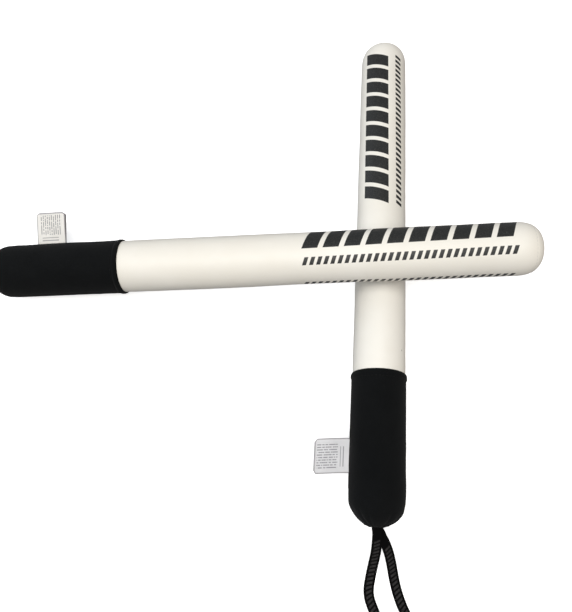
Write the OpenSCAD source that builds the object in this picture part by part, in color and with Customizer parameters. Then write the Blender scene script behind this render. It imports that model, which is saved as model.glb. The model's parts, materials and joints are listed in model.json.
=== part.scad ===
// Pair of padded coaching sticks for boxing drills, laid one across the other.
// The lower stick lies flat and the upper one leans on it, with its butt on the ground.
// Each stick is a plastic tube in a foam sleeve, inside a sewn white cover and a black grip
// whose fabric is gathered to a small mouth over the butt.

/* [Stick] */
// Outside diameter of a covered stick
stick_d = 55; // [50:0.5:60]
// Length from the line where the butt starts to round off to the tip
stick_len = 554; // [500:1:600]
// Length of the rounded nose
nose_len = 28; // [24:0.5:32]
// How square the nose is: 2 is an ellipse, more is blunter
nose_power = 2.4; // [2:0.1:3]
// How far along the nose the round end panel is sewn on, as a share of its length
nose_seam_at = 0.64; // [0.5:0.01:0.75]

/* [Cover and grip] */
// Thickness of the padded cover's outer material
skin = 1.2; // [0.8:0.1:1.6]
// Length of the black grip from the butt to its hem
grip_len = 126.5; // [100:0.5:150]
// Width of the folded hem at the top of the grip
hem_w = 7; // [5:0.5:10]
// How far the hem stands proud of the cover
hem_proud = 1.2; // [0.8:0.1:2]
// Sewing thread diameter
thread_d = 0.6; // [0.5:0.1:0.8]

/* [Core] */
// Outside diameter of the plastic tube
core_d = 25; // [20:0.5:30]
// Wall thickness of the plastic tube
core_wall = 2.5; // [1.5:0.1:3.5]

/* [Gathered butt] */
// How far the gathered mouth stands out past the butt line
pull_len = 23; // [22:0.5:24]
// Depth of the butt's outline if it ran on to a point
gather_depth = 24.4; // [24:0.1:26]
// How square the butt's outline is, as for the nose
gather_power = 1.8; // [1.6:0.05:2.2]
// Radius of the mouth that the wrist loop comes out of
mouth_r = 5.5; // [5.4:0.1:6]
// Radius of the mouth where there is no loop
closed_mouth_r = 2.5; // [2:0.1:3]

/* [Care label] */
// Width of the folded label along the stick
label_w = 33; // [28:1:36]
// How far the label stands out from the grip
label_out = 36.5; // [30:0.5:40]
// Thickness of the folded label
label_t = 1; // [0.8:0.1:1.4]
// Distance from the butt to the label's near edge
label_at = 25; // [18:1:30]
// How far the upper stick's label has turned up about its seam, in degrees
upper_label_lift = 16; // [0:1:30]

/* [Wrist loop] */
// Width of the woven tape
tape_w = 10; // [8:0.5:12]
// Thickness of the woven tape
tape_t = 1.6; // [1.2:0.1:1.8]

/* [Layout] */
// Place of the lower stick's axis across the footprint
lower_x = 137.2; // [100:0.1:150]
// Place of the lower stick's butt along the footprint
lower_y = -265.5; // [-300:0.1:-220]
// Level distance from the lower stick's axis to the upper stick's butt
upper_reach = 399.2; // [380:0.1:410]
// Distance of the upper stick's butt from the lower one's butt, along the lower stick
upper_side = 210.5; // [190:0.5:220]
// Turn of the upper stick away from square to the lower one
upper_turn = 4; // [0:0.1:8]

/* [Hidden] */
$fn = 96;

// Gap between layers that are glued or stretched together
fit = 0.05;
// Gap between pieces that move past each other
run = 0.3;
stick_r = stick_d / 2;
foam_r = stick_r - skin - fit;
core_r = core_d / 2;
bore_r = core_r - core_wall;
barrel_end = stick_len - nose_len;
// Where the butt cover's cylinder ends and the grip cover begins
butt_seam_s = 12;
// The foam end reaches this far up the stick, to the core
pad_to = 8;
plug_flange = 4;
plug_spigot = 18;
core_from = pad_to + plug_flange + fit;
core_to = barrel_end - plug_flange - fit;
tail_w = tape_w + 0.1;
tail_t = 2 * tape_t + 0.2;
// The tail stands this far out of the mouth, and the loop starts that much further on
tail_out = 2.8;
// Share of the lower stick's round, in degrees, where its stitches are pressed into the hem
ground_gap = 30;
// The label turns about this line, and starts a little outside it
label_pivot = stick_r + 3 * run;

// A tilted stick stands on the part of its rounded butt whose outline has the same slope
first_tilt = asin(2 * stick_r / upper_reach);
touch = pow(gather_depth * tan(first_tilt) / stick_r, 1 / (gather_power - 1));
upper_z = dome_r(stick_r, touch, gather_power) * cos(first_tilt)
    + gather_depth * touch * sin(first_tilt);
upper_tilt = asin((2 * stick_r + run + stick_r - upper_z) / upper_reach);

// Route of the wrist loop, measured from the ground under the lower stick's mouth
strap_route = [
    [1.2, -5.2, 26.4], [1.7, -10, 23], [2.1, -15.5, 18.6], [2.3, -21, 14.2],
    [2, -27.5, 9.2], [1.2, -34, 5], [0.1, -41, 2.4], [-1, -48, 1.3],
    [-2, -56, 1.1], [-1.2, -64, 1.3], [1.8, -72, 2.2], [5.8, -80.5, 3.6],
    [9.8, -90, 5], [13, -100, 5.3], [15.8, -110.5, 5.3], [18.6, -121, 5.3],
    [22, -132, 5.3], [27.2, -142.8, 5.3], [31.9, -150.1, 5.3], [39.2, -154.8, 5.3],
    [47.7, -155.9, 5.3], [56, -153.3, 5.3], [62.4, -147.5, 5.3], [65.7, -139.5, 5.3],
    [65.3, -130.6, 5.3], [62.4, -120, 5.3], [57.6, -109.5, 5.3], [51.4, -99.5, 5.3],
    [44.6, -90, 5], [38, -81.5, 3.6], [32.6, -73.5, 2.2], [28.8, -65.5, 1.3],
    [25.6, -57, 1.2], [22.8, -47.5, 1.8], [20.4, -38.5, 4.4], [17.8, -30, 8.8],
    [14.4, -21.5, 14], [10.2, -13.8, 18.8], [6.8, -9, 21.6], [4.5, -5.2, 23.6]
];
// The tape lies flat at both ends and stands on edge round the far turn
edge_from = 9;
edge_full = 14;
flat_from = 26;
flat_full = 31;

// Radius of a dome at a share u of its length, for an outline of radius r
function dome_r(r, u, power) = r * pow(max(1 - pow(u, power), 0), 1 / power);

// Dome outline from share a to share b of its length, set in by t
function dome(t, length, power, a, b, steps = 14) = [
    for (i = [0:steps])
        let (u = sin(asin(a) + (asin(b) - asin(a)) * i / steps))
            [dome_r(stick_r - t, u, power), (length - t) * u]
];

// Nose outline from share a to share b, set in by t
function nose_arc(t, a, b) = [
    for (p = dome(t, nose_len, nose_power, a, b)) [p[0], barrel_end + p[1]]
];

// Gathered butt outline set in by t, from the butt line to the flat lip of the mouth
function gathered_butt(t) =
    let (lip_at = (pull_len - t) / (gather_depth - t))
    [for (p = dome(t, gather_depth, gather_power, 0, lip_at)) [p[0], -p[1]]];

// Point at a distance d outside point i of an outline that runs from the side to the end
function outside_of(path, i, d) =
    let (along = unit(path[i + 1] - path[i - 1]))
    path[i] + d * [-along[1], along[0]];

function reversed(list) = [for (i = [len(list) - 1:-1:0]) list[i]];

function unit(v) = v / norm(v);

// Share of a step from a to b, eased at both ends
function eased(x, a, b) =
    let (t = min(max((x - a) / (b - a), 0), 1))
    t * t * (3 - 2 * t);

// How far the tape has turned on edge at route point i, in degrees
function tape_roll(i) = 90 * (eased(i, edge_from, edge_full) - eased(i, flat_from, flat_full));

// Direction of the route at point i
function heading(path, i) = unit(path[min(i + 1, len(path) - 1)] - path[max(i - 1, 0)]);

// Eight-sided ring of the tape's section at route point i
function tape_ring(path, i) =
    let (
        ahead = heading(path, i),
        level = unit(cross([0, 0, 1], ahead)),
        above = cross(ahead, level),
        roll = tape_roll(i),
        wide = cos(roll) * level + sin(roll) * above,
        thin = cross(ahead, wide)
    )
    [for (a = [22.5:45:337.5])
        path[i] + wide * tape_w / 2 * cos(a) / cos(22.5) + thin * tape_t / 2 * sin(a) / sin(67.5)];

// Tube through rings of n points each, closed at both ends
module swept(rings) {
    n = len(rings[0]);
    last = len(rings) - 1;
    points = [for (ring = rings) for (p = ring) p];
    sides = [
        for (i = [0:last - 1])
            for (k = [0:n - 1])
                [i * n + k, i * n + (k + 1) % n, (i + 1) * n + (k + 1) % n, (i + 1) * n + k]
    ];
    start = [for (k = [n - 1:-1:0]) k];
    finish = [for (k = [0:n - 1]) last * n + k];
    polyhedron(points = points, faces = concat(sides, [start, finish]), convexity = 6);
}

// Ring of revolution about the stick's axis, between two distances along it
module sleeve(outer, inner, from, to) {
    translate([0, 0, from])
        difference() {
            cylinder(r = outer, h = to - from);
            translate([0, 0, -1])
                cylinder(r = inner, h = to - from + 2);
        }
}

// Puts a stick's own frame (butt at the origin, tip along +Z, label side -X) on the lower stick
module on_lower() {
    translate([lower_x, lower_y, stick_r])
        rotate([-90, 0, 0])
            children();
}

// The same for the upper stick, which is turned and tilted
module on_upper() {
    translate([lower_x - upper_reach, lower_y + upper_side, upper_z])
        rotate([0, 0, upper_turn - 90])
            rotate([upper_tilt - 90, 0, 0])
                children();
}

module core_tube() {
    color("gainsboro")
        sleeve(core_r, bore_r, core_from, core_to);
}

// Plug with a flange over the tube's end and a spigot inside its bore
module core_plug() {
    cylinder(r = core_r, h = plug_flange);
    translate([0, 0, plug_flange])
        cylinder(r = bore_r - fit, h = plug_spigot);
}

module core_tip_plug() {
    color("dimgray")
        translate([0, 0, barrel_end])
            mirror([0, 0, 1])
                core_plug();
}

module core_butt_plug() {
    color("dimgray")
        translate([0, 0, pad_to])
            core_plug();
}

module foam_sleeve() {
    color("lightgray")
        sleeve(foam_r, core_r + fit, pad_to, barrel_end);
}

module foam_nose() {
    inset = skin + fit;
    outline = nose_arc(inset, 0, 1);
    color("lightgray")
        rotate_extrude()
            polygon(concat([[0, barrel_end + fit], [foam_r, barrel_end + fit]],
                [for (i = [1:len(outline) - 1]) outline[i]]));
}

// Rounded foam end in the butt, with a hole that the loop's tail passes through
module foam_butt_pad() {
    outline = gathered_butt(skin + fit);
    hole_r = mouth_r + fit;
    color("lightgray")
        rotate_extrude()
            polygon(concat(
                [[hole_r, pad_to - fit], [foam_r, pad_to - fit]],
                outline, [[hole_r, outline[len(outline) - 1][1]]]));
}

module striking_cover() {
    outside = nose_arc(0, 0, nose_seam_at);
    inside = nose_arc(skin, 0, nose_seam_at);
    color([0.93, 0.92, 0.88])
        rotate_extrude()
            polygon(concat(
                [[stick_r - skin, grip_len + fit], [stick_r, grip_len + fit]],
                outside, reversed(inside)));
}

module nose_cover() {
    from = nose_seam_at + fit / nose_len;
    color([0.93, 0.92, 0.88])
        rotate_extrude()
            polygon(concat(nose_arc(0, from, 1), reversed(nose_arc(skin, from, 1))));
}

// Round of thread with its centre line at radius r and distance s, open by gap degrees where
// the stick lies on it
module thread_ring(r, s, gap = 0) {
    translate([0, 0, s])
        rotate([0, 0, 90 + gap / 2])
            rotate_extrude(angle = 360 - gap)
                translate([r, 0])
                    circle(d = thread_d, $fn = 16);
}

module nose_stitching() {
    color("ivory")
        thread_ring(dome_r(stick_r, nose_seam_at, nose_power) + thread_d / 2 + fit,
            barrel_end + nose_len * nose_seam_at + thread_d / 2);
}

module grip_cover() {
    color([0.11, 0.11, 0.12])
        sleeve(stick_r, stick_r - skin, butt_seam_s + fit, grip_len);
}

// Folded hem round the top of the grip, pressed flat where the stick lies on it
module grip_hem(pressed) {
    color([0.09, 0.09, 0.1])
        difference() {
            translate([0, 0, grip_len - hem_w])
                rotate_extrude()
                    polygon([
                        [stick_r + fit, 0], [stick_r + hem_proud * 0.7, 0],
                        [stick_r + hem_proud, hem_w * 0.3], [stick_r + hem_proud, hem_w * 0.7],
                        [stick_r + hem_proud * 0.7, hem_w], [stick_r + fit, hem_w]
                    ]);
            if (pressed)
                translate([-stick_r, stick_r, 0])
                    cube([stick_d, stick_d, stick_len]);
        }
}

// Line of stitches along the hem's lower edge, out of sight for gap degrees on the ground
module hem_stitching(gap) {
    color("black")
        thread_ring(stick_r + thread_d / 2 + fit, grip_len - hem_w - thread_d / 2 - fit, gap);
}

// Fabric gathered over the butt end, closed but for a mouth of radius r
module butt_cover(r) {
    outside = gathered_butt(0);
    inside = gathered_butt(skin);
    color([0.1, 0.1, 0.11])
        rotate_extrude()
            polygon(concat(
                [[stick_r - skin, butt_seam_s], [stick_r, butt_seam_s]],
                outside, [[r, -pull_len], [r, skin - pull_len]], reversed(inside)));
}

// Round of stitches that holds the gathers, close to the mouth
module butt_stitching() {
    outline = gathered_butt(0);
    ring = outside_of(outline, len(outline) - 3, thread_d / 2 + fit);
    color("black")
        thread_ring(ring[0], ring[1]);
}

// Label folded double and sewn into the grip's side seam, turned up about it by lift degrees
module care_label(lift) {
    corner = 3;
    color("white")
        translate([-label_pivot, 0, label_at])
            rotate([0, 0, lift])
                translate([-run, label_t / 2, 0])
                    rotate([90, 0, 0])
                        linear_extrude(label_t)
                            difference() {
                                translate([-label_out, 0])
                                    square([label_out, label_w]);
                                for (side = [0, 1])
                                    translate([-label_out, side * label_w])
                                        mirror([0, side])
                                            difference() {
                                                square(corner);
                                                translate([corner, corner])
                                                    circle(corner);
                                            }
                            }
}

// Both ends of the tape, stitched together and held against the core's plug
module strap_tail() {
    color([0.12, 0.12, 0.13])
        translate([-tail_w / 2, -tail_t / 2, -pull_len - tail_out])
            cube([tail_w, tail_t, pull_len + tail_out + pad_to - fit]);
}

// Loop of tape, left down on the ground
module wrist_strap() {
    color([0.14, 0.14, 0.15])
        translate([lower_x, lower_y - pull_len, 0])
            swept([for (i = [0:len(strap_route) - 1]) tape_ring(strap_route, i)]);
}

on_lower() core_tube();  // lower_core_tube
on_lower() core_tip_plug();  // lower_core_tip_plug
on_lower() core_butt_plug();  // lower_core_butt_plug
on_lower() foam_sleeve();  // lower_foam_sleeve
on_lower() foam_nose();  // lower_foam_nose
on_lower() foam_butt_pad();  // lower_foam_butt_pad
on_lower() striking_cover();  // lower_striking_cover
on_lower() nose_cover();  // lower_nose_cover
on_lower() nose_stitching();  // lower_nose_stitching
on_lower() grip_cover();  // lower_grip_cover
on_lower() grip_hem(true);  // lower_grip_hem
on_lower() hem_stitching(ground_gap);  // lower_hem_stitching
on_lower() butt_cover(mouth_r);  // lower_butt_cover
on_lower() butt_stitching();  // lower_butt_stitching
on_lower() care_label(0);  // lower_care_label
on_lower() strap_tail();  // lower_strap_tail
wrist_strap();
on_upper() core_tube();  // upper_core_tube
on_upper() core_tip_plug();  // upper_core_tip_plug
on_upper() core_butt_plug();  // upper_core_butt_plug
on_upper() foam_sleeve();  // upper_foam_sleeve
on_upper() foam_nose();  // upper_foam_nose
on_upper() foam_butt_pad();  // upper_foam_butt_pad
on_upper() striking_cover();  // upper_striking_cover
on_upper() nose_cover();  // upper_nose_cover
on_upper() nose_stitching();  // upper_nose_stitching
on_upper() grip_cover();  // upper_grip_cover
on_upper() grip_hem(false);  // upper_grip_hem
on_upper() hem_stitching(0);  // upper_hem_stitching
on_upper() butt_cover(closed_mouth_r);  // upper_butt_cover
on_upper() butt_stitching();  // upper_butt_stitching
on_upper() care_label(upper_label_lift);  // upper_care_label
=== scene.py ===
"""Looks for a pair of padded coaching sticks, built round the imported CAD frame.

Everything is in metres in the CAD's own frame. Each stick's skin is a surface over two numbers:
how far along the stick a point is (from the butt) and its angle round it (from straight up
towards the side with the care label).
"""

import json
import math

import bpy
from mathutils import Matrix, Vector, noise


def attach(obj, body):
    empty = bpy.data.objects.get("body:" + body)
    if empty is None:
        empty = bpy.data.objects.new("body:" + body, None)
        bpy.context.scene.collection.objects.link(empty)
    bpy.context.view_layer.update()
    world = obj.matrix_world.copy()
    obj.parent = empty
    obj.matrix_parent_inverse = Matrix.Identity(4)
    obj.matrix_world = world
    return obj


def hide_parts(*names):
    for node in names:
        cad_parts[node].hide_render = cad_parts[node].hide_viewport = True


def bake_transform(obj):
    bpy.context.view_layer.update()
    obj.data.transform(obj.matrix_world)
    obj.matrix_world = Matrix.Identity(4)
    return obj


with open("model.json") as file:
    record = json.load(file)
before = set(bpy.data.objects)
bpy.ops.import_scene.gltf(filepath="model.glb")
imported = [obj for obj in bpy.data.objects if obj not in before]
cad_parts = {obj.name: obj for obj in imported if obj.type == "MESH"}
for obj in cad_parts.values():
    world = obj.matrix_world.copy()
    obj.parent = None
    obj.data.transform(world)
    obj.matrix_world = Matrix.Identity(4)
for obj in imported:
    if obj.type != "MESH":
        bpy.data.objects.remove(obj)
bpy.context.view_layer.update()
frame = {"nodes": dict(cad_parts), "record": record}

# ---------------------------------------------------------------- sizes
# lengths along a stick are measured from where its butt starts to round off
STICK_R = 0.0275
STICK_LEN = 0.554
NOSE_LEN = 0.028
BARREL_END = STICK_LEN - NOSE_LEN
# a little fuller than the CAD's nose
NOSE_POWER = 2.6
# share of the nose's length where its end panel is sewn on
NOSE_SEAM = 0.64
GRIP_LEN = 0.1265
HEM_W = 0.007
HEM_PROUD = 0.0012
BUTT_SEAM = 0.012
PULL_LEN = 0.023
GATHER_DEPTH = 0.0244
GATHER_POWER = 1.8
# the gathered lip swells out a little, then dips into the mouth
LIP_SWELL = 0.0006
LIP_DIP = 0.0012
MOUTH_R = {"lower": 0.0052, "upper": 0.0018}
LABEL_W = 0.033
LABEL_OUT = 0.0365
LABEL_AT = 0.025
TAPE_W = 0.010
# a little thinner than the CAD's tape
TAPE_T = 0.0014
# the covers sink in by no more than this, so that they stay outside the foam
COVER_GIVES = 0.00105

# ---------------------------------------------------------------- camera
CAMERA_PLACE = (0.0278, -0.3062, 0.6546)
CAMERA_PITCH = 0.3598
CAMERA_YAW = -0.0339
CAMERA_ROLL = 0.1082
CAMERA_LENS = 36.59


def make_camera():
    data = bpy.data.cameras.new("camera")
    data.lens = CAMERA_LENS
    data.sensor_width = 36
    data.clip_start = 0.01
    camera = bpy.data.objects.new("camera", data)
    bpy.context.collection.objects.link(camera)
    turn = (
        Matrix.Rotation(CAMERA_YAW, 4, "Z")
        @ Matrix.Rotation(CAMERA_PITCH, 4, "X")
        @ Matrix.Rotation(CAMERA_ROLL, 4, "Z")
    )
    camera.matrix_world = Matrix.Translation(CAMERA_PLACE) @ turn
    bpy.context.scene.camera = camera


make_camera()

# ---------------------------------------------------------------- where the sticks lie


def mount(name):
    return next(m for m in frame["record"]["mounts"] if m["name"] == name)


def stick_frame(name):
    """Butt point, and the directions along, up and towards the label, from the grip's mount."""
    grip = mount(name)
    along = -Vector(grip["axis"]).normalized()
    butt = Vector(grip["pos_m"]) - along * GRIP_LEN / 2
    up = (Vector((0, 0, 1)) - along * along.z).normalized()
    left = up.cross(along)
    return {"butt": butt, "along": along, "up": up, "left": left}


STICKS = {"lower": stick_frame("lower_grip"), "upper": stick_frame("upper_grip")}


def place(stick, s, angle, r):
    """World point at distance s along the stick, at an angle round it and a radius."""
    out = stick["up"] * math.cos(angle) + stick["left"] * math.sin(angle)
    return stick["butt"] + stick["along"] * s + out * r


# ---------------------------------------------------------------- mesh helpers


def new_object(name, verts, faces, uvs=None, smooth=True):
    mesh = bpy.data.meshes.new(name)
    mesh.from_pydata([tuple(v) for v in verts], [], faces)
    if uvs is not None:
        layer = mesh.uv_layers.new(name="skin")
        flat = [c for face_uv in uvs for uv in face_uv for c in uv]
        layer.data.foreach_set("uv", flat)
    mesh.validate()
    mesh.update()
    if smooth:
        mesh.polygons.foreach_set("use_smooth", [True] * len(mesh.polygons))
    obj = bpy.data.objects.new(name, mesh)
    bpy.context.collection.objects.link(obj)
    return obj


def lofted(name, rows, uv_rows, close_start=False, close_end=False):
    """Closed round surface through rings of points, each ring of the same count.

    Each ring's row of skin coordinates has one more, because the last meets the first.
    """
    n = len(rows[0])
    verts = [p for row in rows for p in row]
    faces, uvs = [], []
    for i in range(len(rows) - 1):
        for k in range(n):
            k2 = (k + 1) % n
            faces.append((i * n + k, i * n + k2, (i + 1) * n + k2, (i + 1) * n + k))
            a, b = uv_rows[i], uv_rows[i + 1]
            uvs.append((a[k], a[k + 1], b[k + 1], b[k]))
    for wanted, row, order in ((close_start, 0, -1), (close_end, len(rows) - 1, 1)):
        if wanted:
            faces.append(tuple(row * n + k for k in range(n))[::order])
            uvs.append(tuple(uv_rows[row][k] for k in range(n))[::order])
    return new_object(name, verts, faces, uvs)


def skin_surface(name, stick, stations, radius, count=128, **ends):
    """Surface over stations (s, base radius) and angles, nowhere below the ground.

    radius(s, base, angle) gives each point's own radius, and ends says which end is closed.
    """
    rows, uv_rows = [], []
    for s, base in stations:
        row, uv = [], []
        for k in range(count + 1):
            angle = 2 * math.pi * k / count
            uv.append((angle * STICK_R, s))
            if k < count:
                p = place(stick, s, angle, radius(s, base, angle))
                p.z = max(p.z, 0.0)
                row.append(p)
        rows.append(row)
        uv_rows.append(uv)
    return lofted(name, rows, uv_rows, **ends)


def smoothstep(x, a, b):
    t = min(max((x - a) / (b - a), 0.0), 1.0)
    return t * t * (3 - 2 * t)


def bell(x, middle, width):
    """Smooth bump: 1 in the middle, and close to 0 two widths away from it."""
    return math.exp(-(((x - middle) / width) ** 2))


def wave(s, angle, size, seed):
    """Gentle unevenness in -1..1 over the skin, with lumps of about this size in metres."""
    x, y = math.cos(angle) * STICK_R, math.sin(angle) * STICK_R
    return noise.noise(Vector((s / size, x / size + seed, y / size)))


def steps(a, b, count):
    return [a + (b - a) * i / count for i in range(count + 1)]


# ---------------------------------------------------------------- outlines along a stick


def dome_radius(u, power):
    return STICK_R * max(1 - u**power, 0.0) ** (1 / power)


def nose_stations(a, b, count):
    """(s, radius) along the nose between two shares of its length."""
    out = []
    for t in steps(math.asin(a), math.asin(b), count):
        u = math.sin(t)
        out.append((BARREL_END + NOSE_LEN * u, dome_radius(u, NOSE_POWER)))
    return out


def butt_stations(mouth_r):
    """(s, radius) from the grip round the gathered butt, over its lip and into its mouth."""
    out = [(s, STICK_R) for s in steps(BUTT_SEAM, 0, 6)]
    for t in steps(0, math.asin(PULL_LEN / GATHER_DEPTH), 34)[1:]:
        u = math.sin(t)
        out.append((-GATHER_DEPTH * u, dome_radius(u, GATHER_POWER)))
    lip_r = out[-1][1]
    for t in steps(0, math.pi / 2, 7)[1:]:
        s = -PULL_LEN - LIP_SWELL * math.sin(2 * t) + LIP_DIP * (1 - math.cos(t))
        out.append((s, lip_r - (lip_r - mouth_r) * math.sin(t)))
    for depth, narrowed in ((0.004, 0.95), (0.010, 0.9)):
        out.append((-PULL_LEN + depth, mouth_r * narrowed))
    return out


# ---------------------------------------------------------------- shader helpers


class Nodes:
    """Small helper that adds nodes to one material and links them by name."""

    def __init__(self, name):
        self.mat = bpy.data.materials.new(name)
        self.mat.use_nodes = True
        self.tree = self.mat.node_tree
        self.bsdf = self.tree.nodes["Principled BSDF"]

    def add(self, kind, inputs=None, **settings):
        node = self.tree.nodes.new(kind)
        for key, value in settings.items():
            setattr(node, key, value)
        for key, value in (inputs or {}).items():
            self.set(node, key, value)
        return node

    def set(self, node, key, value):
        socket = node.inputs[key]
        if isinstance(value, bpy.types.NodeSocket):
            self.tree.links.new(value, socket)
        else:
            socket.default_value = value

    def shade(self, **values):
        for key, value in values.items():
            self.set(self.bsdf, key.replace("_", " "), value)

    def maths(self, operation, a, b=0.0, c=0.0):
        return self.add("ShaderNodeMath", {0: a, 1: b, 2: c}, operation=operation).outputs[0]

    def skin_place(self):
        """The skin's own coordinates in metres: x round the stick, y along it."""
        uv = self.add("ShaderNodeUVMap", uv_map="skin")
        split = self.add("ShaderNodeSeparateXYZ", {0: uv.outputs[0]})
        return split.outputs[0], split.outputs[1]

    def object_place(self):
        return self.add("ShaderNodeTexCoord").outputs["Object"]

    def noise(self, scale, detail=2.0, roughness=0.5, vector=None):
        return self.add(
            "ShaderNodeTexNoise",
            {
                "Vector": vector or self.object_place(),
                "Scale": scale,
                "Detail": detail,
                "Roughness": roughness,
            },
        ).outputs["Fac"]

    def ramp(self, value, stops):
        node = self.add("ShaderNodeValToRGB", {0: value})
        elements = node.color_ramp.elements
        while len(elements) < len(stops):
            elements.new(0.5)
        for element, (at, colour) in zip(elements, stops):
            element.position = at
            element.color = (*colour, 1)
        return node.outputs[0]

    def mix(self, share, a, b):
        node = self.add("ShaderNodeMix", data_type="RGBA")
        self.set(node, 0, share)
        for key, value in ((6, a), (7, b)):
            self.set(node, key, value if isinstance(value, bpy.types.NodeSocket) else (*value, 1))
        return node.outputs[2]

    def bump(self, height, distance, strength=1.0, under=None):
        node = self.add(
            "ShaderNodeBump", {"Height": height, "Distance": distance, "Strength": strength}
        )
        if under is not None:
            self.set(node, "Normal", under)
        return node.outputs[0]

    def between(self, value, low, high, soft=0.0002):
        """1 where value lies between low and high, with edges this soft."""
        up = self.add(
            "ShaderNodeMapRange",
            {0: value, 1: low - soft, 2: low + soft},
            interpolation_type="SMOOTHSTEP",
        ).outputs[0]
        down = self.add(
            "ShaderNodeMapRange",
            {0: value, 1: high + soft, 2: high - soft},
            interpolation_type="SMOOTHSTEP",
        ).outputs[0]
        return self.maths("MULTIPLY", up, down)

    def ripple(self, value, pitch):
        """Sine wave over value, one to each pitch."""
        return self.maths("SINE", self.maths("MULTIPLY", value, 2 * math.pi / pitch))


# how far the edge of a printed or woven mark fades, to each side
FADE = 0.00015


def bars(n, leaned, across, pitch, share, band, run, first=0.0, start=FADE, ends=0.0002):
    """Row of bars inside a band and a run of the skin: 1 on a bar and 0 off it.

    leaned is the distance along the row with the bars' slant added. There is one bar to each
    pitch, counted from first, and it takes up this share of it.
    """
    phase = n.maths("MODULO", n.maths("ADD", leaned, 10 * pitch - first), pitch)
    on_bar = n.between(phase, start, pitch * share, FADE)
    in_band = n.between(across, *band)
    in_run = n.between(leaned, *run, ends)
    return n.maths("MULTIPLY", on_bar, n.maths("MULTIPLY", in_band, in_run))


# ---------------------------------------------------------------- materials


def grey(value):
    return (value, value, value)


NONE, FULL = grey(0), grey(1)
PRINT_INK = (0.013, 0.014, 0.014)
COVER_SHADED = (0.765, 0.732, 0.660)
COVER_WHITE = (0.80, 0.775, 0.715)
COVER_CLEAN = (0.825, 0.805, 0.755)
GRIME = (0.42, 0.38, 0.32)
SCUFF = (0.10, 0.07, 0.045)
PRINT_FROM = 0.315
PRINT_TO = 0.525
PRINT_SLANT = 0.34
# the cover is printed flat before it is sewn, so the print runs very slightly askew
PRINT_SKEW = 0.012
# each row of the print: degrees round the stick from and to, pitch, and inked share of it
PRINT_ROWS = ((1, 61, 0.0210, 0.77), (324, 341.5, 0.0070, 0.62))
# the print comes twice: (degrees further round, 1 or -1 when turned end for end)
PRINT_COPIES = ((0, 1), (238, -1))
DEG_ARC = STICK_R * math.pi / 180
# a small scuff on the lower cover: metres round it and along it, half its size, and its fading
SCUFF_AT = (0.1502, 0.1493)
SCUFF_HALF = (0.0004, 0.0008)
SCUFF_FADE = (0.0004, 0.0005)


def print_mask(n, around, along, roll):
    """1 where there is ink: a band of bold slanted bars and a band of small dashes, twice."""
    full = 360 * DEG_ARC
    askew = n.maths("MULTIPLY", n.maths("SUBTRACT", PRINT_TO, along), PRINT_SKEW)
    flat = n.maths("ADD", n.maths("ADD", around, askew), 2 * full)
    ink = 0.0
    for turned, way in PRINT_COPIES:
        past = n.maths("SUBTRACT", flat, (roll + turned) * DEG_ARC)
        across = n.maths("MODULO", n.maths("MULTIPLY_ADD", past, way, 5 * full), full)
        run_on = along if way == 1 else n.maths("SUBTRACT", PRINT_FROM + PRINT_TO, along)
        for low, high, pitch, share in PRINT_ROWS:
            rise = n.maths("SUBTRACT", across, low * DEG_ARC)
            leaned = n.maths("MULTIPLY_ADD", rise, -PRINT_SLANT, run_on)
            row = bars(
                n, leaned, across, pitch, share,
                band=(low * DEG_ARC, high * DEG_ARC), run=(PRINT_FROM, PRINT_TO - 2 * FADE),
                first=PRINT_FROM, start=2 * FADE, ends=FADE,
            )
            ink = n.maths("MAXIMUM", row, ink)
    return ink


def scuff_mask(n, around, along):
    """1 on the scuff, fading to 0 round it."""
    mask = 1.0
    for value, at, half, fade in zip((around, along), SCUFF_AT, SCUFF_HALF, SCUFF_FADE):
        mask = n.maths("MULTIPLY", n.between(value, at - half, at + half, fade), mask)
    return mask


def cover_material(name, roll, scuffed):
    """White synthetic leather with a generic print, rolled round the stick by some degrees.

    scuffed is how dark its one scuff is, from 0 to 1.
    """
    n = Nodes(name)
    around, along = n.skin_place()
    worn = n.ramp(n.noise(900, 3, 0.7), [(0.28, grey(0.95)), (0.5, FULL)])
    ink = n.maths("MULTIPLY", print_mask(n, around, along, roll), worn)
    tone = n.ramp(
        n.noise(9, 4, 0.6), [(0.3, COVER_SHADED), (0.6, COVER_WHITE), (0.8, COVER_CLEAN)]
    )
    grimy = n.ramp(n.noise(38, 5, 0.7), [(0.66, NONE), (0.82, FULL)])
    tone = n.mix(n.maths("MULTIPLY", grimy, 0.12), tone, GRIME)
    tone = n.mix(n.maths("MULTIPLY", scuff_mask(n, around, along), scuffed), tone, SCUFF)
    n.shade(Base_Color=n.mix(ink, tone, PRINT_INK))
    n.shade(Roughness=n.ramp(n.noise(60, 4, 0.6), [(0.3, grey(0.42)), (0.7, grey(0.54))]))
    n.shade(Specular_IOR_Level=0.35, Coat_Weight=0.04, Coat_Roughness=0.35)
    grain = n.noise(1500, 2, 0.6)
    creases = n.add(
        "ShaderNodeTexVoronoi",
        {"Vector": n.object_place(), "Scale": 620.0},
        feature="DISTANCE_TO_EDGE",
    ).outputs["Distance"]
    fine = n.bump(n.maths("MULTIPLY_ADD", creases, 0.8, grain), 0.00012, 0.35)
    soft = n.bump(n.noise(70, 3, 0.55), 0.0012, 0.10, fine)
    n.shade(Normal=n.bump(ink, 0.00006, 0.6, soft))
    return n.mat


WALE_W = 0.0007
COURSE_H = 0.0009
KNIT_DARK = (0.0018, 0.0022, 0.0026)
KNIT_LIGHT = (0.0042, 0.0048, 0.0052)


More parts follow.
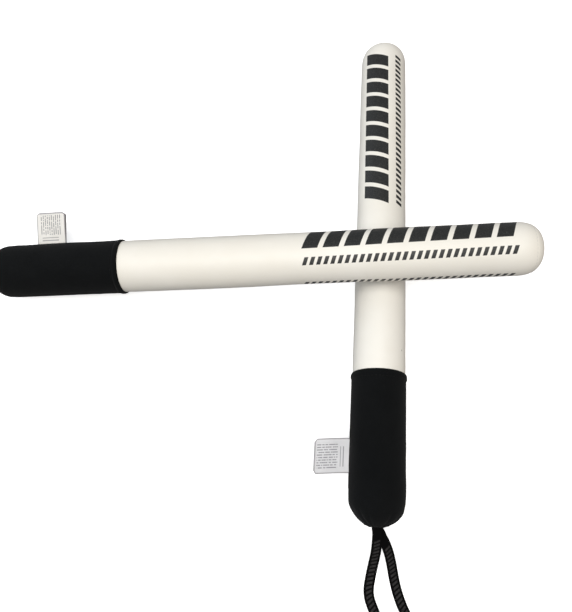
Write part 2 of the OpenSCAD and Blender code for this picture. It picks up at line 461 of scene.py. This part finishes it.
def knit_material(name):
    """Black matte stretch fabric with a fine knit and a little lint."""
    n = Nodes(name)
    around, along = n.skin_place()
    knit = n.maths("MULTIPLY", n.ripple(around, WALE_W), n.ripple(along, COURSE_H))
    fuzz = n.noise(1400, 3, 0.7)
    tone = n.ramp(n.noise(14, 5, 0.65), [(0.3, KNIT_DARK), (0.7, KNIT_LIGHT)])
    lint = n.ramp(n.noise(420, 2, 0.5), [(0.74, NONE), (0.80, FULL)])
    n.shade(Base_Color=n.mix(n.maths("MULTIPLY", lint, 0.10), tone, grey(0.06)))
    n.shade(Roughness=0.92, Specular_IOR_Level=0.10, Sheen_Weight=0.03, Sheen_Roughness=0.5)
    under = n.bump(n.maths("MULTIPLY_ADD", fuzz, 0.7, knit), 0.00010, 0.5)
    n.shade(Normal=n.bump(n.noise(90, 3, 0.6), 0.0010, 0.12, under))
    return n.mat


def thread_material(name, colour):
    n = Nodes(name)
    twist = n.add(
        "ShaderNodeTexWave",
        {"Vector": n.object_place(), "Scale": 700.0, "Distortion": 1.5},
        bands_direction="DIAGONAL",
    ).outputs["Fac"]
    dark = tuple(c * 0.6 for c in colour)
    n.shade(Base_Color=n.mix(twist, dark, colour))
    n.shade(Roughness=0.7, Specular_IOR_Level=0.15, Normal=n.bump(twist, 0.0001, 0.5))
    return n.mat


RIB_PITCH = 0.00035
# rows of dashes on the label: from one row to the next, and the margin at their ends
LINE_PITCH = 0.0024
LINE_MARGIN = 0.0040
# distances out from the seam: the rows of dashes, and two plain lines beside them
DASHES_FROM, DASHES_TO = 0.0130, 0.0340
PLAIN_LINES = ((0.0068, 0.0078), (0.0098, 0.0105))
LINES_FROM, LINES_TO = 0.006, LABEL_W - 0.008
LABEL_INK = (0.13, 0.13, 0.145)
# painted shade along the label's cut and folded edges
LABEL_EDGE_SHADE = (0.33, 0.32, 0.33)


def label_print(n, across, out):
    """1 on the label's dashes and lines. Each row is broken at uneven places."""
    rows = bars(
        n, across, out, LINE_PITCH, 0.46,
        band=(DASHES_FROM, DASHES_TO), run=(LINE_MARGIN, LABEL_W - LINE_MARGIN),
    )
    row_number = n.maths("FLOOR", n.maths("MULTIPLY", across, 1 / LINE_PITCH))
    on_row = n.add("ShaderNodeCombineXYZ", {0: n.maths("MULTIPLY", out, 560.0), 1: row_number})
    broken = n.ramp(n.noise(1.0, 0, 0.5, on_row.outputs[0]), [(0.40, NONE), (0.46, FULL)])
    marks = n.maths("MULTIPLY", rows, n.maths("MULTIPLY", broken, 0.8))
    beside = n.between(across, LINES_FROM, LINES_TO)
    for low, high in PLAIN_LINES:
        line = n.maths("MULTIPLY", n.between(out, low, high), beside)
        marks = n.maths("MAXIMUM", marks, n.maths("MULTIPLY", line, 0.75))
    return marks


def label_material(name, white):
    """White satin ribbon with rows of plain grey dashes and painted shade along its edges. white is
    its tone, which carries painted light and shade.
    """
    n = Nodes(name)
    across, out = n.skin_place()
    darker = tuple(0.9 * c for c in white)
    tone = n.ramp(n.noise(60, 3, 0.5), [(0.3, darker), (0.7, white)])
    # painted shade: the cut and folded edges are darkened towards grey
    away_from_edge_shade = n.maths(
        "MULTIPLY",
        n.between(across, 0.0009, LABEL_W - 0.0009, 0.0005),
        n.between(out, -1.0, LABEL_OUT - 0.0012, 0.0006),
    )
    tone = n.mix(away_from_edge_shade, LABEL_EDGE_SHADE, tone)
    n.shade(Base_Color=n.mix(label_print(n, across, out), tone, LABEL_INK))
    n.shade(Roughness=0.42, Specular_IOR_Level=0.5, Sheen_Weight=0.15)
    ribbed = n.maths("MULTIPLY_ADD", n.noise(260, 2), 0.8, n.ripple(out, RIB_PITCH))
    n.shade(Normal=n.bump(ribbed, 0.00006, 0.5))
    return n.mat


WEFT_PITCH = 0.0008
WARP_PITCH = 0.0006
# slanted marks down the middle of the tape, which stop short of the butt's mouth
MARK_PITCH = 0.0040
MARK_SLANT = 0.45
MARK_BAND = (0.0022, 0.0078)
MARK_RUN = (0.020, 0.355)
TAPE_DARK = (0.0012, 0.0012, 0.0014)
TAPE_LIGHT = (0.0035, 0.0035, 0.0036)
TAPE_MARK = (0.046, 0.044, 0.044)


def tape_material(name):
    """Black woven tape with a plain lighter pattern of slanted marks down its middle."""
    n = Nodes(name)
    across, along = n.skin_place()
    weave = n.maths("MULTIPLY", n.ripple(along, WEFT_PITCH), n.ripple(across, WARP_PITCH))
    leaned = n.maths("MULTIPLY_ADD", across, MARK_SLANT, along)
    marks = bars(n, leaned, across, MARK_PITCH, 0.60, band=MARK_BAND, run=MARK_RUN)
    patchy = n.ramp(n.noise(500, 3, 0.7), [(0.3, grey(0.3)), (0.6, FULL)])
    marks = n.maths("MULTIPLY", marks, patchy)
    ground = n.mix(n.maths("MULTIPLY_ADD", weave, 0.5, 0.5), TAPE_DARK, TAPE_LIGHT)
    n.shade(Base_Color=n.mix(n.maths("MULTIPLY", marks, 0.8), ground, TAPE_MARK))
    n.shade(Roughness=0.85, Specular_IOR_Level=0.05)
    n.shade(Normal=n.bump(n.maths("MULTIPLY_ADD", marks, 0.8, weave), 0.00012, 0.6))
    return n.mat


def plain_material(name, colour, roughness, grain):
    n = Nodes(name)
    spots = n.noise(grain, 3, 0.6)
    darker = tuple(c * 0.8 for c in colour)
    n.shade(Base_Color=n.mix(spots, darker, colour), Roughness=roughness)
    n.shade(Normal=n.bump(spots, 0.0003, 0.3))
    return n.mat


COVER = {
    "lower": cover_material("lower_cover_print", -3, scuffed=0.8),
    "upper": cover_material("upper_cover_print", 1.5, scuffed=0.0),
}
KNIT = knit_material("black_knit")
WHITE_THREAD = thread_material("white_thread", (0.80, 0.79, 0.75))
BLACK_THREAD = thread_material("black_thread", (0.006, 0.006, 0.0065))
TAPE = tape_material("woven_tape")
FOAM = plain_material("closed_cell_foam", (0.30, 0.30, 0.31), 0.9, 1800)
CORE_PLASTIC = plain_material("core_plastic", (0.62, 0.62, 0.60), 0.45, 300)
PLUG_PLASTIC = plain_material("plug_plastic", (0.08, 0.08, 0.08), 0.4, 300)


def dress(piece, material, which, node):
    """Gives a stick's piece its material and body, and hides the CAD node that it stands in for."""
    piece.data.materials.append(material)
    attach(piece, which + "_stick")
    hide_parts(which + "_" + node)


# ---------------------------------------------------------------- wrist loop

MOUTH = STICKS["lower"]["butt"] - STICKS["lower"]["along"] * PULL_LEN
# the loop's route in mm, from the ground under the mouth: out, round its far turn and back
STRAP_ROUTE_MM = [
    (1.2, -5.2, 26.4), (1.7, -10, 23), (2.1, -15.5, 18.6), (2.3, -21, 14.2),
    (2, -27.5, 9.2), (1.2, -34, 5), (0.1, -41, 2.4), (-1, -48, 1.3),
    (-2, -56, 1.1), (-1.2, -64, 1.3), (1.8, -72, 2.2), (5.8, -80.5, 3.6),
    (9.8, -90, 5), (13, -100, 5.3), (15.8, -110.5, 5.3), (18.6, -121, 5.3),
    (22, -132, 5.3), (27.2, -142.8, 5.3), (31.9, -150.1, 5.3), (39.2, -154.8, 5.3),
    (47.7, -155.9, 5.3), (56, -153.3, 5.3), (62.4, -147.5, 5.3), (65.7, -139.5, 5.3),
    (65.3, -130.6, 5.3), (62.4, -120, 5.3), (57.6, -109.5, 5.3), (51.4, -99.5, 5.3),
    (44.6, -90, 5), (38, -81.5, 3.6), (32.6, -73.5, 2.2), (28.8, -65.5, 1.3),
    (25.6, -57, 1.2), (22.8, -47.5, 1.8), (20.4, -38.5, 4.4), (17.8, -30, 8.8),
    (14.4, -21.5, 14), (10.2, -13.8, 18.8), (6.8, -9, 21.6), (4.5, -5.2, 23.6),
]
# the tape turns on edge between these route points, and lies flat again between the next two
EDGE_FROM, EDGE_FULL = 9, 14
FLAT_FROM, FLAT_FULL = 26, 31
# pieces of the curve from one route point to the next
SPANS = 5
# the tape stays this far above the ground
TAPE_LIFT = 0.0002
# lower side of the tape's section, in shares of its half width and half thickness
SECTION = ((-1, -0.2), (-0.93, -0.85), (-0.55, -1), (0, -1), (0.55, -1), (0.93, -0.85), (1, -0.2))


def catmull(points, t):
    """Point on a smooth curve through the points, at a position counted in points."""
    i = min(int(t), len(points) - 2)
    u = t - i
    p0, p1 = points[max(i - 1, 0)], points[i]
    p2, p3 = points[i + 1], points[min(i + 2, len(points) - 1)]
    return 0.5 * (
        2 * p1
        + (p2 - p0) * u
        + (2 * p0 - 5 * p1 + 4 * p2 - p3) * u * u
        + (3 * p1 - p0 - 3 * p2 + p3) * u * u * u
    )


def strap_centre():
    """Points along the middle of the tape, and how many of its guide points come before the route."""
    ground = Vector((MOUTH.x, MOUTH.y, 0))
    route = [ground + Vector(p) / 1000 for p in STRAP_ROUTE_MM]
    # both ends carry on into the mouth of the butt, one strand on the other
    top = [MOUTH + Vector((0, 0.004, 0.0009)), MOUTH + Vector((0.0003, -0.0005, 0.0008))]
    low = [MOUTH + Vector((0.0010, -0.0005, -0.0010)), MOUTH + Vector((0, 0.004, -0.0009))]
    points = top + route + low
    count = (len(points) - 1) * SPANS
    return [catmull(points, i / SPANS) for i in range(count + 1)], len(top)


def tape_rings(centre, lead):
    """Rings of points and of skin coordinates along the tape, and its length."""
    half_w, half_t = TAPE_W / 2, TAPE_T / 2
    section = [(x * half_w, y * half_t) for x, y in SECTION]
    section += [(-x, -y) for x, y in section]
    rows, uv_rows = [], []
    travelled = 0.0
    for i, p in enumerate(centre):
        a, b = centre[max(i - 1, 0)], centre[min(i + 1, len(centre) - 1)]
        if i:
            travelled += (p - centre[i - 1]).length
        ahead = (b - a).normalized()
        level = Vector((0, 0, 1)).cross(ahead).normalized()
        above = ahead.cross(level)
        at = i / SPANS - lead
        on_edge = smoothstep(at, EDGE_FROM, EDGE_FULL) - smoothstep(at, FLAT_FROM, FLAT_FULL)
        roll = math.pi / 2 * on_edge
        wide = level * math.cos(roll) + above * math.sin(roll)
        thin = ahead.cross(wide)
        row, uv = [], []
        for x, y in section:
            q = p + wide * x + thin * y
            q.z = max(q.z, TAPE_LIFT)
            row.append(q)
            uv.append((x + half_w, travelled))
        uv.append(uv[0])
        rows.append(row)
        uv_rows.append(uv)
    return rows, uv_rows, travelled


def make_strap():
    centre, lead = strap_centre()
    rows, uv_rows, length = tape_rings(centre, lead)
    strap = lofted("wrist_tape", rows, uv_rows, close_start=True, close_end=True)
    strap.data.materials.append(TAPE)
    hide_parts("wrist_strap", "lower_strap_tail")
    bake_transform(strap)


make_strap()

# ---------------------------------------------------------------- covers, grips and ends

# how far a skin runs on under the next one
OVERLAP = 0.001
# how far the covers lie under their full size, and how much deeper where the grip begins
COVER_UNDER = 0.00025
COVER_TUCKED = 0.0002
# how far the grip's fabric stands proud, and the butt's lies under its full size
GRIP_PROUD = 0.0005
BUTT_UNDER = 0.0001
# where the upper stick's cover sinks in beside the crossing, and how wide that is
WAIST_AT, WAIST_W = 0.335, 0.045
LABEL_MIDDLE = LABEL_AT + LABEL_W / 2
LABEL_ANGLE = math.pi / 2
HEM_SEAM_ANGLE = 1.5 * math.pi
FOLDS = 15


def barrel_radius(which, seed):
    """Lumpy cover. The upper one sinks in a little beside the crossing and near its tip."""
    loose = 1.0 if which == "upper" else 0.0

    def radius(s, base, angle):
        waist = (0.0009 - 0.0005 * math.sin(angle)) * bell(s, WAIST_AT, WAIST_W)
        tip = 0.0006 * smoothstep(s, 0.38, 0.52) * (1.2 - math.cos(angle)) / 2
        under_grip = COVER_TUCKED * (1 - smoothstep(s, GRIP_LEN, GRIP_LEN + 0.01))
        lump = 0.00026 * wave(s, angle, 0.045, seed) + 0.00012 * wave(s, angle, 0.012, seed + 7)
        uneven = lump - loose * (waist + tip) - under_grip
        r = base - COVER_UNDER + uneven * min(base / STICK_R, 1)
        return max(r, base - COVER_GIVES)

    return radius


def make_barrel(which, seed):
    stations = [(s, STICK_R) for s in steps(GRIP_LEN - OVERLAP, BARREL_END, 190)]
    stations += nose_stations(0.0, NOSE_SEAM, 22)[1:]
    radius = barrel_radius(which, seed)
    piece = skin_surface(which + "_barrel_cover", STICKS[which], stations, radius)
    dress(piece, COVER[which], which, "striking_cover")


def make_nose(which, seed):
    """End panel: its rim is tucked under at the seam, with fine pleats beside it."""
    stations = nose_stations(NOSE_SEAM, 0.9995, 26)
    rim_s, rim_r = stations[0]
    stations = [(rim_s - 0.0006, rim_r - 0.0016), (rim_s - 0.0002, rim_r - 0.0005)] + stations
    barrel = barrel_radius(which, seed)

    def radius(s, base, angle):
        pleat = 0.00010 * math.cos(31 * angle + 3 * wave(s, angle, 0.03, seed))
        near = 1 - smoothstep(s, rim_s, rim_s + 0.006)
        lump = 0.0002 * wave(s, angle, 0.02, seed) * base / STICK_R
        return barrel(s, base, angle) + pleat * near + lump * (1 - near)

    piece = skin_surface(which + "_nose_panel", STICKS[which], stations, radius, close_end=True)
    dress(piece, COVER[which], which, "nose_cover")


def grip_lump(s, angle, seed):
    return 0.00030 * wave(s, angle, 0.030, seed) + 0.00014 * wave(s, angle, 0.010, seed + 3)


def make_grip(which, seed):
    """Tight fabric with a side seam, pulled out a little round the label sewn into it."""
    stations = [(s, STICK_R) for s in steps(BUTT_SEAM - OVERLAP, GRIP_LEN - HEM_W * 0.6, 90)]

    def radius(s, base, angle):
        pull = bell(s, LABEL_MIDDLE, 0.022) * bell(angle, LABEL_ANGLE, 0.35)
        seam = bell(angle, LABEL_ANGLE, 0.0009 / STICK_R)
        return base + GRIP_PROUD + grip_lump(s, angle, seed) + 0.00035 * pull + 0.0004 * seam

    piece = skin_surface(which + "_grip_fabric", STICKS[which], stations, radius)
    dress(piece, KNIT, which, "grip_cover")


def make_hem(which, seed):
    """Folded hem: a soft rounded band that stands a little proud."""
    foot_r = STICK_R + 0.0003
    stations = []
    for t in steps(0, 1, 18):
        proud = HEM_PROUD * smoothstep(t, 0, 0.45) * (1 - t**7)
        stations.append((GRIP_LEN - HEM_W + t * HEM_W, foot_r + proud))
    stations.append((stations[-1][0] - 0.0006, STICK_R - 0.0014))

    def radius(s, base, angle):
        crimp = 0.00012 * wave(0.0, angle, 0.006, seed) + 0.00020 * wave(0.0, angle, 0.022, seed)
        seam = 0.0007 * bell(angle, HEM_SEAM_ANGLE, 0.0022 / STICK_R)
        proud = max(base - foot_r, 0) / HEM_PROUD
        return base + (crimp + seam) * min(proud, 1)

    piece = skin_surface(which + "_grip_hem_fold", STICKS[which], stations, radius)
    dress(piece, KNIT, which, "grip_hem")


def butt_sag(which, s, angle):
    """The lower stick's butt bulges a little away from its label."""
    if which == "upper":
        return 0.0
    sag = 0.0004 - 0.0010 * math.sin(angle)
    return sag * smoothstep(-s, 0.003, 0.012) * (1 - smoothstep(-s, 0.017, PULL_LEN))


def make_butt(which, seed):
    """Fabric gathered over the butt: folds that deepen from the shoulder to the mouth."""

    def radius(s, base, angle):
        gather = smoothstep(-s, 0.004, PULL_LEN * 0.9)
        swing = angle + 0.30 * wave(0.0, angle, 0.030, seed) + 0.10 * wave(s, angle, 0.02, seed)
        ridge = abs(math.sin(FOLDS * swing / 2)) * (0.7 + 0.3 * math.cos(4 * swing + seed))
        pleat = gather * (0.0017 * ridge - 0.0010)
        slack = 0.0003 * wave(s, angle, 0.018, seed + 5)
        # the folds and lumps shrink towards the mouth
        near_mouth = min(base / 0.008, 1.0)
        # next to the grip the fabric has the grip's own size and lumps
        join = smoothstep(s, -0.008, BUTT_SEAM)
        joined = (BUTT_UNDER + GRIP_PROUD + grip_lump(s, angle, seed) - slack) * join
        loose = (pleat + slack + butt_sag(which, s, angle)) * near_mouth
        return base - BUTT_UNDER + joined + loose

    piece = skin_surface(
        which + "_butt_fabric", STICKS[which], butt_stations(MOUTH_R[which]), radius,
        count=180, close_end=True,
    )
    dress(piece, KNIT, which, "butt_cover")


STITCH_LEN = 0.0026
STITCH_GAP = 0.0011
STITCH_SIDES = 6
STITCH_SPANS = 5
# the thread that draws the mouth together: how far along the stick it runs, and its radius
DRAW_THREAD_S = -0.0216
DRAW_THREAD_R = 0.0121


def add_stitch(verts, faces, stick, s, r, middle, wide):
    """One short thread stitch round the stick: a small flattened capsule."""
    first = len(verts)
    for j in range(STITCH_SPANS + 1):
        t = j / STITCH_SPANS
        angle = middle + (t - 0.5) * STITCH_LEN / r
        thick = wide * math.sqrt(max(1 - (2 * t - 1) ** 4, 0.04))
        for k in range(STITCH_SIDES):
            turn = 2 * math.pi * k / STITCH_SIDES
            lift = 0.6 * thick * math.sin(turn)
            p = place(stick, s + thick * math.cos(turn), angle, r + lift)
            p.z = max(p.z, 0.0)
            verts.append(p)
    for j in range(STITCH_SPANS):
        a = first + j * STITCH_SIDES
        b = a + STITCH_SIDES
        for k in range(STITCH_SIDES):
            k2 = (k + 1) % STITCH_SIDES
            faces.append((a + k, a + k2, b + k2, b + k))
    last = first + STITCH_SPANS * STITCH_SIDES
    faces.append(tuple(first + k for k in range(STITCH_SIDES))[::-1])
    faces.append(tuple(last + k for k in range(STITCH_SIDES)))


def stitch_ring(which, name, s, r, material, node, wide=0.0003):
    """Row of stitches round the stick."""
    count = int(2 * math.pi * r / (STITCH_LEN + STITCH_GAP))
    verts, faces = [], []
    for i in range(count):
        add_stitch(verts, faces, STICKS[which], s, r, 2 * math.pi * i / count, wide)
    piece = new_object(which + name, verts, faces)
    dress(piece, material, which, node)


def make_stitching(which):
    seam_r = dome_radius(NOSE_SEAM, NOSE_POWER)
    seam_s = BARREL_END + NOSE_LEN * NOSE_SEAM
    hem_s = GRIP_LEN - HEM_W
    stitch_ring(
        which, "_nose_thread", seam_s - 0.0012, seam_r + 0.0004,
        WHITE_THREAD, "nose_stitching", wide=0.00022,
    )
    stitch_ring(
        which, "_hem_thread", hem_s - 0.0003, STICK_R + 0.0006,
        BLACK_THREAD, "hem_stitching",
    )
    stitch_ring(
        which, "_butt_thread", DRAW_THREAD_S, DRAW_THREAD_R,
        BLACK_THREAD, "butt_stitching",
    )


for which, seed in (("lower", 3.0), ("upper", 11.0)):
    make_barrel(which, seed)
    make_nose(which, seed)
    make_grip(which, seed)
    make_hem(which, seed)
    make_butt(which, seed)
    make_stitching(which)

# ---------------------------------------------------------------- care labels

LEAF_T = 0.00022
HALF_GAP = 0.00035
FOLD_R = 0.0005
# the label's root lies just inside the grip's seam
ROOT_R = STICK_R - 0.0006


def label_path():
    """(share of the way out, side) over one leaf, round the fold and back along the other."""
    out_steps = steps(0.0, 1.0, 26)
    path = [(t, 1) for t in out_steps]
    for turn in (60, 20, -20, -60):
        bow = math.radians(turn)
        path.append((1 + FOLD_R / LABEL_OUT * math.cos(bow), math.sin(bow)))
    return path + [(t, -1) for t in reversed(out_steps)]


def leaf_faces(path, across):
    """Faces and skin coordinates of a sheet with two layers of points, closed at its edges."""
    faces, uvs = [], []
    n_path, n_w = len(path), len(across)
    layer = n_path * n_w

    def uv(i, j):
        return (across[j], min(path[i][0], 1) * LABEL_OUT)

    for i in range(n_path - 1):
        for j in range(n_w - 1):
            a, b = i * n_w + j, (i + 1) * n_w + j
            quad = (uv(i, j), uv(i + 1, j), uv(i + 1, j + 1), uv(i, j + 1))
            faces.append((a, b, b + 1, a + 1))
            uvs.append(quad)
            faces.append((a + layer, a + 1 + layer, b + 1 + layer, b + layer))
            uvs.append((quad[0], quad[3], quad[2], quad[1]))
    for i in range(n_path - 1):
        for j, flip in ((0, 1), (n_w - 1, -1)):
            a, b = i * n_w + j, (i + 1) * n_w + j
            faces.append((a, a + layer, b + layer, b)[::flip])
            uvs.append((uv(i, j), uv(i, j), uv(i + 1, j), uv(i + 1, j))[::flip])
    for j in range(n_w - 1):
        for i, flip in ((0, -1), (n_path - 1, 1)):
            a, b = i * n_w + j, i * n_w + j + 1
            faces.append((a, a + layer, b + layer, b)[::flip])
            uvs.append((uv(i, j), uv(i, j), uv(i, j + 1), uv(i, j + 1))[::flip])
    return faces, uvs


def make_label(which, seed, tilt, wide, reach, askew, opened, satin):
    """Ribbon folded double, its two leaves a little apart, which meet in a round fold.

    tilt is in degrees up from level, wide a share of the usual width, reach how far it sticks out,
    askew how far its fold lies towards the butt, and opened how far its leaves part.
    """
    stick = STICKS[which]
    seam = stick["butt"] + stick["left"] * ROOT_R
    lean = math.radians(tilt)

    def point(t, side, w, grow):
        parted = opened * (w / LABEL_W) * math.sin(math.pi * min(t, 1) * 0.62) ** 2
        ripple = 0.0007 * math.sin(2.2 * t + w * 60 + seed) * t
        ripple += side * (HALF_GAP + parted + grow)
        # the two far corners are rounded off
        corner = max(t - 0.90, 0) / 0.10
        edge = abs(w / LABEL_W - 0.5) * 2
        out = reach * min(t, 1.02) - 0.0022 * corner * max(edge - 0.82, 0) / 0.18
        uneven = 0.0006 * wave(t * 0.05, w * 20, 0.05, seed)
        s = LABEL_AT + wide * w - askew * t + uneven
        turned = lean * smoothstep(t, 0, 0.14)
        away = stick["left"] * math.cos(turned) + stick["up"] * math.sin(turned)
        over = stick["up"] * math.cos(turned) - stick["left"] * math.sin(turned)
        return seam + stick["along"] * s + away * out + over * ripple

    path = label_path()
    across = steps(0, LABEL_W, 20)
    verts = []
    for grow in (LEAF_T, 0.0):
        verts += [point(t, side, w, grow) for t, side in path for w in across]
    piece = new_object(which + "_label_ribbon", verts, *leaf_faces(path, across))
    piece.data.materials.append(satin)
    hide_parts(which + "_care_label")
    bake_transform(piece)


# both labels are the same white satin: the lower one gets a darker, cooler tone as painted shade, the
# upper one a lighter, warmer tone as painted light
make_label(
    "lower", seed=1.0, tilt=-6, wide=1.04, reach=0.0359, askew=0.0026, opened=0.0006,
    satin=label_material("satin_painted_cool_shade", (0.66, 0.655, 0.67)),
)
make_label(
    "upper", seed=5.0, tilt=16, wide=0.985, reach=0.0380, askew=0.0010, opened=0.0013,
    satin=label_material("satin_painted_warm_light", (0.78, 0.76, 0.72)),
)

# ---------------------------------------------------------------- hidden CAD pieces

HIDDEN = {
    "core_tube": CORE_PLASTIC,
    "core_tip_plug": PLUG_PLASTIC,
    "core_butt_plug": PLUG_PLASTIC,
    "foam_sleeve": FOAM,
    "foam_nose": FOAM,
    "foam_butt_pad": FOAM,
}

for which in STICKS:
    for node, material in HIDDEN.items():
        hidden = frame["nodes"][which + "_" + node]
        hidden.data.materials.clear()
        hidden.data.materials.append(material)

# ---------------------------------------------------------------- floor and light

FLOOR_HALF = 6.0
SKY = (0.97, 0.98, 1.0, 1)
SKY_STRENGTH = 0.31


def make_floor():
    signs = ((-1, -1), (1, -1), (1, 1), (-1, 1))
    corners = [(x * FLOOR_HALF, y * FLOOR_HALF, 0) for x, y in signs]
    floor = new_object("floor", corners, [(0, 1, 2, 3)], smooth=False)
    n = Nodes("pale_floor")
    n.shade(Base_Color=(0.93, 0.93, 0.93, 1), Roughness=0.9, Specular_IOR_Level=0.1)
    # a lit table: it keeps the ground white round the sticks and softens their shadows
    n.shade(Emission_Color=(1, 1, 1, 1), Emission_Strength=0.55)
    floor.data.materials.append(n.mat)
    # the table's light stays off the sticks, so that their sides keep their soft dark edges
    floor.visible_diffuse = False
    floor.visible_glossy = False


def area_light(name, place_at, target, size, watts, colour):
    data = bpy.data.lights.new(name, "AREA")
    data.shape = "DISK"
    data.size = size
    data.energy = watts
    data.color = colour
    light = bpy.data.objects.new(name, data)
    bpy.context.collection.objects.link(light)
    light.location = place_at
    aim = Vector(target) - Vector(place_at)
    light.rotation_euler = aim.to_track_quat("-Z", "Y").to_euler()


def make_light():
    area_light(
        "key", (-0.30, -0.62, 2.2), target=(0, -0.05, 0), size=1.8, watts=47,
        colour=(1.0, 0.985, 0.955),
    )
    area_light(
        "cool_side", (-2.2, 0.5, 0.8), target=(0, 0, 0), size=1.6, watts=17,
        colour=(0.85, 0.92, 1.0),
    )
    area_light(
        "warm_side", (2.0, -0.8, 0.9), target=(0, 0, 0), size=1.6, watts=5,
        colour=(1.0, 0.76, 0.48),
    )
    world = bpy.data.worlds.new("world")
    bpy.context.scene.world = world
    world.use_nodes = True
    background = world.node_tree.nodes["Background"]
    background.inputs["Color"].default_value = SKY
    background.inputs["Strength"].default_value = SKY_STRENGTH


make_floor()
make_light()
bpy.context.scene.view_settings.view_transform = "Standard"
